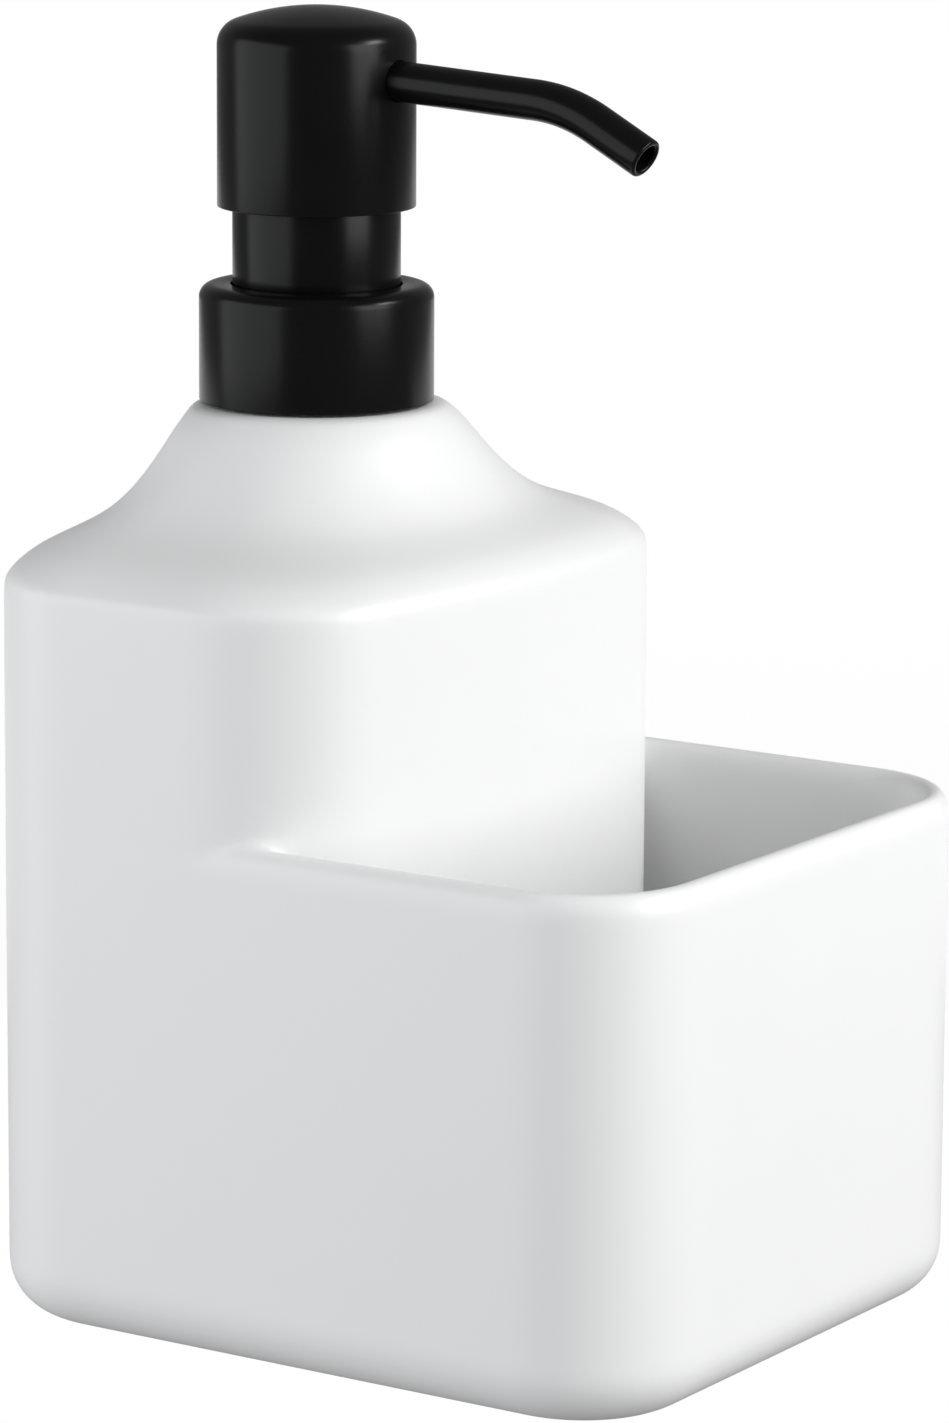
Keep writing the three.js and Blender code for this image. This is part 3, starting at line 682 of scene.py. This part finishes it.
insert_radius, insert_low, insert_top = span("collar_insert")
INSERT_WEB = 1.2 * MM
insert_bore = ring_radius + THREAD_PLAY
insert_shoulder = COLLAR_ROUND - SHELL
insert_profile = (
    [(collar_hole, insert_top - INSERT_WEB), (insert_bore, insert_top - INSERT_WEB)]
    + [(insert_bore, insert_low), (insert_radius, insert_low)]
    + arc_points((insert_radius - insert_shoulder, insert_top - insert_shoulder), insert_shoulder, 0, 90, 6)
    + [(collar_hole, insert_top)]
)
insert = turn_profile("threaded_insert", insert_profile)
insert_start = insert_low + THREAD_START
insert_ridge = add_thread(
    "insert_ridge", insert_bore + RIDGE_SUNK, insert_bore - FIT, insert_start, INSERT_TURNS,
)
join_ridge(insert, insert_ridge)
stand_for(insert, "collar_insert")

# %% [markdown]
# ## The pump's engine
# Under the collar hang a gasket, the housing with its flange and barrel, and the chaplet that closes
# it. They are plain mouldings, turned from the levels of their nodes. A small bar cuts the vent that
# lets air into the bottle.

# %% Turn the gasket, chaplet and housing
BARREL = 5.6 * MM
MOULD_WALL = 1 * MM
STEM_RUN = 0.35 * MM
VENT_RADIUS = 0.7 * MM
VENT_DROP = 9 * MM
VENT_START = 4 * MM
VENT_END = 8 * MM
GASKET_ROUND = 0.3 * MM
CHAPLET_CHAMFER = 1 * MM
gasket_radius, gasket_low, gasket_top = span("neck_gasket")
gasket_profile = box_profile(NECK_BORE + FIT, gasket_radius, gasket_low, gasket_top)
gasket = turn_profile("soft_gasket", gasket_profile, GASKET_ROUND)
stand_for(gasket, "neck_gasket")

stem_radius, stem_low, stem_top = span("stem")
chaplet_radius, chaplet_low, chaplet_top = span("chaplet")
flange_radius, socket_low, flange_top = span("pump_housing")
plug_radius = BARREL - FIT
chaplet_profile = [
    (stem_radius + STEM_RUN, chaplet_low), (plug_radius, chaplet_low), (plug_radius, flange_top + FIT),
    (chaplet_radius, flange_top + FIT), (chaplet_radius, chaplet_top - CHAPLET_CHAMFER),
    (chaplet_radius - CHAPLET_CHAMFER, chaplet_top), (stem_radius + STEM_RUN, chaplet_top),
]
chaplet = turn_profile("stem_guide", chaplet_profile)
stand_for(chaplet, "chaplet")

BALL_ROOM = 3.2 * MM
INLET = 1.6 * MM
FLANGE = 1.6 * MM
BARREL_TAPER = 2.5 * MM
ball_radius, ball_low, ball_top = span("check_ball")
tube_radius, tube_low, tube_top = span("dip_tube")
barrel_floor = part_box("valve_cage")[0].z - FIT
seat_top = ball_low + ball_radius + BALL_ROOM - (ball_radius + FIT) * math.sqrt(2)
socket_top = tube_top + FIT
socket = tube_radius + FIT
housing_profile = [
    (BARREL, flange_top), (BARREL, barrel_floor), (BALL_ROOM, barrel_floor), (BALL_ROOM, seat_top),
    (INLET, seat_top - BALL_ROOM + INLET), (INLET, socket_top), (socket, socket_top), (socket, socket_low),
    (socket + MOULD_WALL, socket_low), (socket + MOULD_WALL, socket_top - MOULD_WALL),
    (BALL_ROOM + MOULD_WALL, socket_top), (BALL_ROOM + MOULD_WALL, barrel_floor - BARREL_TAPER),
    (BARREL + MOULD_WALL, barrel_floor - MOULD_WALL), (BARREL + MOULD_WALL, flange_top - FLANGE),
    (flange_radius, flange_top - FLANGE), (flange_radius, flange_top),
]
housing = turn_profile("pump_barrel", housing_profile)
vent = pump_axis + Vector((0, 0, flange_top - FLANGE - VENT_DROP))
vent_start, vent_end = (vent - Vector((0, out, 0)) for out in (VENT_START, VENT_END))
cut_with(housing, add_bar("vent", vent_start, vent_end, VENT_RADIUS))
stand_for(housing, "pump_housing")

# %% [markdown]
# ## Stem, rod, seal and core
# The stem is the hollow rod that carries the head, and the rod and its lipped seal are the piston.
# The core sits in the head's dome, with a socket for the stem and a way to the spout. All four are
# round, so they are turned as the housing is, and only the core's ways are cut.

# %% Turn the moving pieces
STEM_BORE = 2.6 * MM
CHAMFER = 0.5 * MM
ROD_FOOT = 1.2 * MM
LIP_ROUND = 0.08 * MM
SEAL_LIP = 1.6 * MM
LIP_WALL = 0.9 * MM
stem_profile = [
    (STEM_BORE, stem_low), (stem_radius, stem_low), (stem_radius, stem_top - CHAMFER),
    (stem_radius - CHAMFER, stem_top), (STEM_BORE, stem_top),
]
stem = turn_profile("hollow_stem", stem_profile)
stand_for(stem, "stem")

rod_foot, rod_low, rod_top = span("piston_rod")
rod_radius = STEM_BORE - FIT
rod_profile = [
    (0, rod_low), (rod_foot, rod_low), (rod_foot, rod_low + ROD_FOOT), (rod_radius, rod_low + ROD_FOOT),
    (rod_radius, rod_top - CHAMFER), (rod_radius - CHAMFER, rod_top), (0, rod_top),
]
rod = turn_profile("piston_pin", rod_profile)
stand_for(rod, "piston_rod")

seal_radius, seal_low, seal_top = span("piston_seal")
seal_waist = stem_radius + 2 * FIT
seal_profile = [
    (STEM_BORE, seal_low), (seal_radius - LIP_WALL, seal_low + SEAL_LIP / 2), (seal_radius, seal_low),
    (seal_radius, seal_low + SEAL_LIP), (seal_waist, seal_low + 2 * SEAL_LIP),
    (seal_waist, seal_top - 2 * SEAL_LIP), (seal_radius, seal_top - SEAL_LIP), (seal_radius, seal_top),
    (seal_radius - LIP_WALL, seal_top - SEAL_LIP / 2), (STEM_BORE, seal_top),
]
seal = turn_profile("lipped_seal", seal_profile, LIP_ROUND)
stand_for(seal, "piston_seal")

BOSS_LENGTH = 8 * MM
BOSS_WALL = 2 * MM
core_radius, boss_low, core_top = span("actuator_core")
boss_bore = stem_radius + FIT
duct = SPOUT_RADIUS - SPOUT_WALL
core_low = boss_low + BOSS_LENGTH
core_profile = (
    [(duct, spout_start.z), (duct, stem_top + FIT), (boss_bore, stem_top + FIT), (boss_bore, boss_low)]
    + [(boss_bore + BOSS_WALL, boss_low), (boss_bore + BOSS_WALL, core_low), (core_radius, core_low)]
    + dome_points(SHELL + FIT) + [(0, core_top), (0, spout_start.z)]
)
core = turn_profile("head_core", core_profile)
core_socket = SPOUT_RADIUS + FIT
cut_with(core, add_bar("core_socket", root - along * FIT, hole_end, core_socket))
cut_with(core, add_bar("core_duct", spout_start, root, duct))
stand_for(core, "actuator_core")

# %% [markdown]
# ## Ball, dip tube and spring
# The ball is a half circle that is spun. The dip tube ends in a slanted cut, so that it can't suck
# itself onto the floor of the bottle; Bisect makes that cut. The spring is a wire circle that climbs
# with the Screw modifier. On the real pump it is squashed when the head is pressed, and here the share of its
# length that it then keeps is worked out.

# %% Make the ball, the tube and the spring
ball_centre = (0, (ball_low + ball_top) / 2)
ball = turn_profile("inlet_ball", arc_points(ball_centre, ball_radius, -90, 90, 24), 0, 48)
stand_for(ball, "check_ball")

TUBE_WALL = 0.8 * MM
tube = turn_profile("dip_straw", box_profile(tube_radius - TUBE_WALL, tube_radius, tube_low, tube_top), 0)
bpy.ops.object.mode_set(mode="EDIT")
bpy.ops.mesh.select_all(action="SELECT")
slant_point = pump_axis + Vector((0, 0, tube_low + tube_radius))
bpy.ops.mesh.bisect(plane_co=slant_point, plane_no=(1, 0, 1), use_fill=True, clear_inner=True)
leave_edit()
smooth_by_angle(tube)
stand_for(tube, "dip_tube")

SPRING_TURNS = 7
SPRING_STEPS = 40
WIRE_SIDES = 12
WIRE = 0.45 * MM
spring_low, spring_top = (corner.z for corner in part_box("return_spring"))
spring_radius = plug_radius - FIT - WIRE
wire_centre = (spring_radius, spring_low + WIRE)
wire_ring = arc_points(wire_centre, WIRE, 0, 360 - 360 / WIRE_SIDES, WIRE_SIDES - 1)
spring = draw_outline("coil_spring", wire_ring)
leave_edit()
climb = (spring_top - spring_low - 2 * WIRE) / SPRING_TURNS
use_modifier(
    spring, "SCREW", angle=math.tau, screw_offset=climb, iterations=SPRING_TURNS,
    steps=SPRING_STEPS, render_steps=SPRING_STEPS,
)
bpy.ops.object.mode_set(mode="EDIT")
close_skin()
smooth_by_angle(spring)
stand_for(spring, "return_spring")
press = next(joint for joint in frame["joints"] if joint["name"] == "head_press")
pressed_share = 1 - press["range_m"][1] / (spring_top - spring_low)
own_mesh(spring)
print("spring keeps", round(pressed_share, 3), "of its length")

# %% [markdown]
# ## Finishes
# A finish is a small net of nodes. The class below wraps one output, so that sums and products of it
# can be written as Python, and the second class holds a net and adds any node to it. Patterns read
# Object coordinates, which are metres here, so a scale of 1000 means about one wave per millimetre.

# %% Classes for finishes
class Signal:
    """One output of a node, with arithmetic that adds Math nodes."""

    def __init__(self, net, socket):
        self.net = net
        self.socket = socket

    def _maths(self, operation, first, second):
        return self.net.add("ShaderNodeMath", {"operation": operation}, {0: first, 1: second})

    def __add__(self, other):
        return self._maths("ADD", self, other)

    __radd__ = __add__

    def __sub__(self, other):
        return self._maths("SUBTRACT", self, other)

    def __rsub__(self, other):
        return self._maths("SUBTRACT", other, self)

    def __mul__(self, other):
        return self._maths("MULTIPLY", self, other)

    __rmul__ = __mul__


class Net:
    """A tree of shader nodes."""

    def __init__(self, tree):
        self.tree = tree

    def add(self, kind, settings=None, sockets=None, out=0):
        node = self.tree.nodes.new(kind)
        for key, value in (settings or {}).items():
            setattr(node, key, value)
        for key, value in (sockets or {}).items():
            self.feed(node.inputs[key], value)
        return Signal(self, node.outputs[out])

    def feed(self, socket, value):
        if isinstance(value, Signal):
            self.tree.links.new(value.socket, socket)
        else:
            socket.default_value = value

    def seen_directly(self, mirrored=1):
        """One for camera rays, and a share of one for mirror and glass rays."""
        camera_ray = self.add("ShaderNodeLightPath", out="Is Camera Ray")
        outputs = camera_ray.socket.node.outputs
        mirror_ray = Signal(self, outputs["Is Glossy Ray"]) + Signal(self, outputs["Is Transmission Ray"])
        return camera_ray + mirror_ray * mirrored


class Finish(Net):
    """One material: a Principled shader, its fixed values and the nodes that vary it."""

    def __init__(self, name, **fixed):
        self.material = bpy.data.materials.new(name)
        self.material.use_nodes = True
        super().__init__(self.material.node_tree)
        self.shader = self.tree.nodes["Principled BSDF"]
        for key, value in fixed.items():
            self.shader.inputs[key.replace("_", " ")].default_value = value
        self.place = self.add("ShaderNodeTexCoord", out="Object")

    def vary(self, name, value):
        self.feed(self.shader.inputs[name], value)

    def noise(self, scale, detail=2, roughness=0.5):
        sockets = {"Vector": self.place, "Scale": scale, "Detail": detail, "Roughness": roughness}
        return self.add("ShaderNodeTexNoise", None, sockets, "Fac")

    def step(self, value, low, high):
        limits = {"Value": value, "From Min": low, "From Max": high}
        return self.add("ShaderNodeMapRange", {"interpolation_type": "SMOOTHSTEP"}, limits, "Result")

    def blend(self, factor, first, second):
        sockets = {0: factor, 6: first, 7: second}
        for key in (6, 7):
            if isinstance(sockets[key], tuple):
                sockets[key] = (*sockets[key], 1)
        return self.add("ShaderNodeMix", {"data_type": "RGBA"}, sockets, 2)

    def bump(self, height, distance, strength=1):
        sockets = {"Height": height, "Distance": distance, "Strength": strength}
        self.vary("Normal", self.add("ShaderNodeBump", None, sockets, "Normal"))

    def height(self):
        return self.add("ShaderNodeSeparateXYZ", None, {0: self.place}, "Z")


def dress(finish, *pieces):
    for piece in pieces:
        piece.data.materials.clear()
        piece.data.materials.append(finish.material)
    print(finish.material.name, "on", ", ".join(piece.name for piece in pieces))


# %% [markdown]
# ## White glaze
# The glaze is a satin white. It is a little uneven in gloss and thickness over a centimetre or so, and
# the foot is wiped clean of it before firing, so the bare clay shows there. One broad noise drives
# colour, gloss and bump, so that they agree with each other.

# %% Make the glaze
glaze = Finish("satin_white_glaze", IOR=1.5)
clouds = glaze.noise(45, 3)
pitting = glaze.noise(900, 2)
bare_foot = 1 - glaze.step(glaze.height(), 0.1 * MM, 0.6 * MM)
cast = glaze.blend(clouds, (0.845, 0.847, 0.848), (0.865, 0.866, 0.867))
glaze.vary("Base Color", glaze.blend(bare_foot, cast, (0.72, 0.68, 0.61)))
glaze.vary("Roughness", 0.36 + 0.08 * clouds + 0.45 * bare_foot)
glaze.bump(clouds + 0.05 * pitting, 0.12 * MM, 0.35)
dress(glaze, vessel)

# %% [markdown]
# ## Satin black
# The pump is coated in a satin black with a very fine tooth, which breaks highlights softly. The fine
# noise is that tooth, and the broad one is the wear of hands, so the gloss isn't the same all over.

# %% Make the black coat
black = Finish("satin_black_coat", Specular_IOR_Level=0.14)
tooth = black.noise(4200, 3, 0.6)
wear = black.noise(120, 3)
black.vary("Base Color", black.blend(wear, (0.0025, 0.0025, 0.0026), (0.0045, 0.0045, 0.0047)))
black.vary("Roughness", 0.19 + 0.06 * wear + 0.05 * tooth)
black.bump(tooth, 0.02 * MM, 0.3)
dress(black, collar, sleeve, head, spout)

# %% [markdown]
# ## Finishes inside the pump
# Hidden pieces get their own plain finishes, because they show when the pump is lifted out.

# %% Make the inner finishes
moulded = Finish("black_moulding")
grain = moulded.noise(1500, 2)
moulded.vary("Base Color", moulded.blend(grain, (0.016, 0.016, 0.016), (0.024, 0.024, 0.025)))
moulded.vary("Roughness", 0.5 + 0.12 * grain)
dress(moulded, insert, core)

natural = Finish("natural_plastic", Transmission_Weight=0.35, IOR=1.49)
flow = natural.noise(150, 3)
natural.vary("Base Color", natural.blend(flow, (0.8, 0.81, 0.8), (0.87, 0.88, 0.87)))
natural.vary("Roughness", 0.3 + 0.14 * flow)
dress(natural, ring, chaplet, housing, stem, rod, tube, frame["nodes"]["valve_cage"])

rubber = Finish("gasket_foam")
pores = rubber.noise(2600, 2)
rubber.vary("Base Color", rubber.blend(pores, (0.1, 0.1, 0.098), (0.15, 0.15, 0.146)))
rubber.vary("Roughness", 0.75 + 0.15 * pores)
rubber.bump(pores, 0.05 * MM, 0.6)
dress(rubber, gasket)

wax = Finish("waxy_seal", Subsurface_Weight=0.2)
sheen = wax.noise(300, 2)
wax.vary("Base Color", wax.blend(sheen, (0.46, 0.54, 0.6), (0.52, 0.59, 0.64)))
wax.vary("Roughness", 0.35 + 0.15 * sheen)
dress(wax, seal)

steel = Finish("bright_steel", Metallic=1)
drawn_lines = steel.noise(2000, 2)
steel.vary("Base Color", steel.blend(drawn_lines, (0.52, 0.53, 0.54), (0.62, 0.63, 0.64)))
steel.vary("Roughness", 0.2 + 0.14 * drawn_lines)
dress(steel, ball, spring)

# %% [markdown]
# ## Floor and light
# The object stands on a table with a plain white sheet. The sheet runs far back behind the object, but
# in front it ends close by, so that the black pump mirrors the dim room there and stays black. Rays
# that show the sheet or the backdrop itself see plain white, and near the object the sheet keeps a
# soft shadow.

# %% Lay the sheet
SHEET_FRONT = 0.4
SHEET_BACK = 1.75
SHEET_WIDTH = 1.1
SHEET_DROP = 0.05 * MM
PAPER_GLOW = 0.93
FADE_START = 0.15
FADE_END = 0.6

towards_camera = Vector((back.x, back.y, 0)).normalized()
bpy.ops.object.select_all(action="DESELECT")
bpy.ops.mesh.primitive_plane_add(
    size=1, location=towards_camera * (SHEET_FRONT - SHEET_BACK) / 2 - Vector((0, 0, SHEET_DROP)),
    rotation=(0, 0, CAMERA_AZIMUTH), scale=(SHEET_WIDTH, SHEET_FRONT + SHEET_BACK, 1),
)
floor = bpy.context.object
floor.name = "white_sheet"
bpy.ops.object.transform_apply()
paper = Finish("white_paper", Roughness=0.9)
fibre = paper.noise(60, 2)
paper.vary("Base Color", paper.blend(fibre, (0.88, 0.88, 0.88), (0.9, 0.9, 0.9)))
plain = Signal(paper, paper.shader.outputs[0])
glow = paper.add("ShaderNodeEmission", None, {"Color": (1, 1, 1, 1), "Strength": 1}, "Emission")
away = paper.add("ShaderNodeVectorMath", {"operation": "LENGTH"}, {0: paper.place}, "Value")
share = PAPER_GLOW + (1 - PAPER_GLOW) * paper.step(away, FADE_START, FADE_END)
lit = paper.add("ShaderNodeMixShader", None, {0: share, 1: plain, 2: glow}, "Shader")
shown = paper.add("ShaderNodeMixShader", None, {0: paper.seen_directly(), 1: plain, 2: lit}, "Shader")
paper.feed(paper.tree.nodes["Material Output"].inputs["Surface"], shown)
dress(paper, floor)

# %% [markdown]
# ## Lamps
# A wide softbox in front to the left gives the long soft bands on the pump, and it reaches below the
# table's level so that upright walls mirror it. The right face gets the most light, from a softbox at
# the right and a small bright lamp above it, which draws the highlights on the pump's edges.

# %% Light the scene
LAMP_AIM = Vector((0, 0, 90 * MM))


def add_softbox(name, place, size, power, tint=(1, 1, 1)):
    bpy.ops.object.light_add(type="AREA", location=place)
    lamp = bpy.context.object
    lamp.name = name
    lamp.data.shape = "RECTANGLE"
    lamp.data.size, lamp.data.size_y = size
    lamp.data.energy = power
    lamp.data.color = tint
    lamp.rotation_euler = (LAMP_AIM - lamp.location).to_track_quat("-Z", "Y").to_euler()


add_softbox("wide_left_softbox", Vector((-0.72, -0.98, 0.22)), (1.75, 1.1), 13, (0.965, 0.98, 1))
add_softbox("right_softbox", Vector((1.08, 0.05, 0.38)), (0.7, 0.7), 8.9)
add_softbox("small_high_lamp", Vector((0.82, 0.32, 0.68)), (0.34, 0.14), 3.7)

# %% [markdown]
# ## The surround
# The room is dim. The camera sees white all round, and mirror and glass rays see white only where the
# backdrop is, behind the object.

# %% Set the surround
ROOM_FILL = 0.25
BACKDROP_EDGE = 0.94
world = bpy.data.worlds.new("studio")
bpy.context.scene.world = world
world.use_nodes = True
sky = Net(world.node_tree)
way = sky.add("ShaderNodeTexCoord", None, None, "Generated")
ahead = sky.add("ShaderNodeVectorMath", {"operation": "DOT_PRODUCT"}, {0: way, 1: -back}, "Value")
limits = {"Value": ahead, "From Min": BACKDROP_EDGE, "From Max": 1}
behind = sky.add("ShaderNodeMapRange", None, limits, "Result")
dim = sky.add("ShaderNodeBackground", None, {"Color": (1, 1, 1, 1), "Strength": ROOM_FILL})
white = sky.add("ShaderNodeBackground", None, {"Color": (1, 1, 1, 1), "Strength": 1})
surround = sky.add("ShaderNodeMixShader", None, {0: sky.seen_directly(behind), 1: dim, 2: white})
sky.feed(sky.tree.nodes["World Output"].inputs["Surface"], surround)
bpy.context.scene.view_settings.view_transform = "Standard"
print("three lamps, a dim room and a white backdrop")
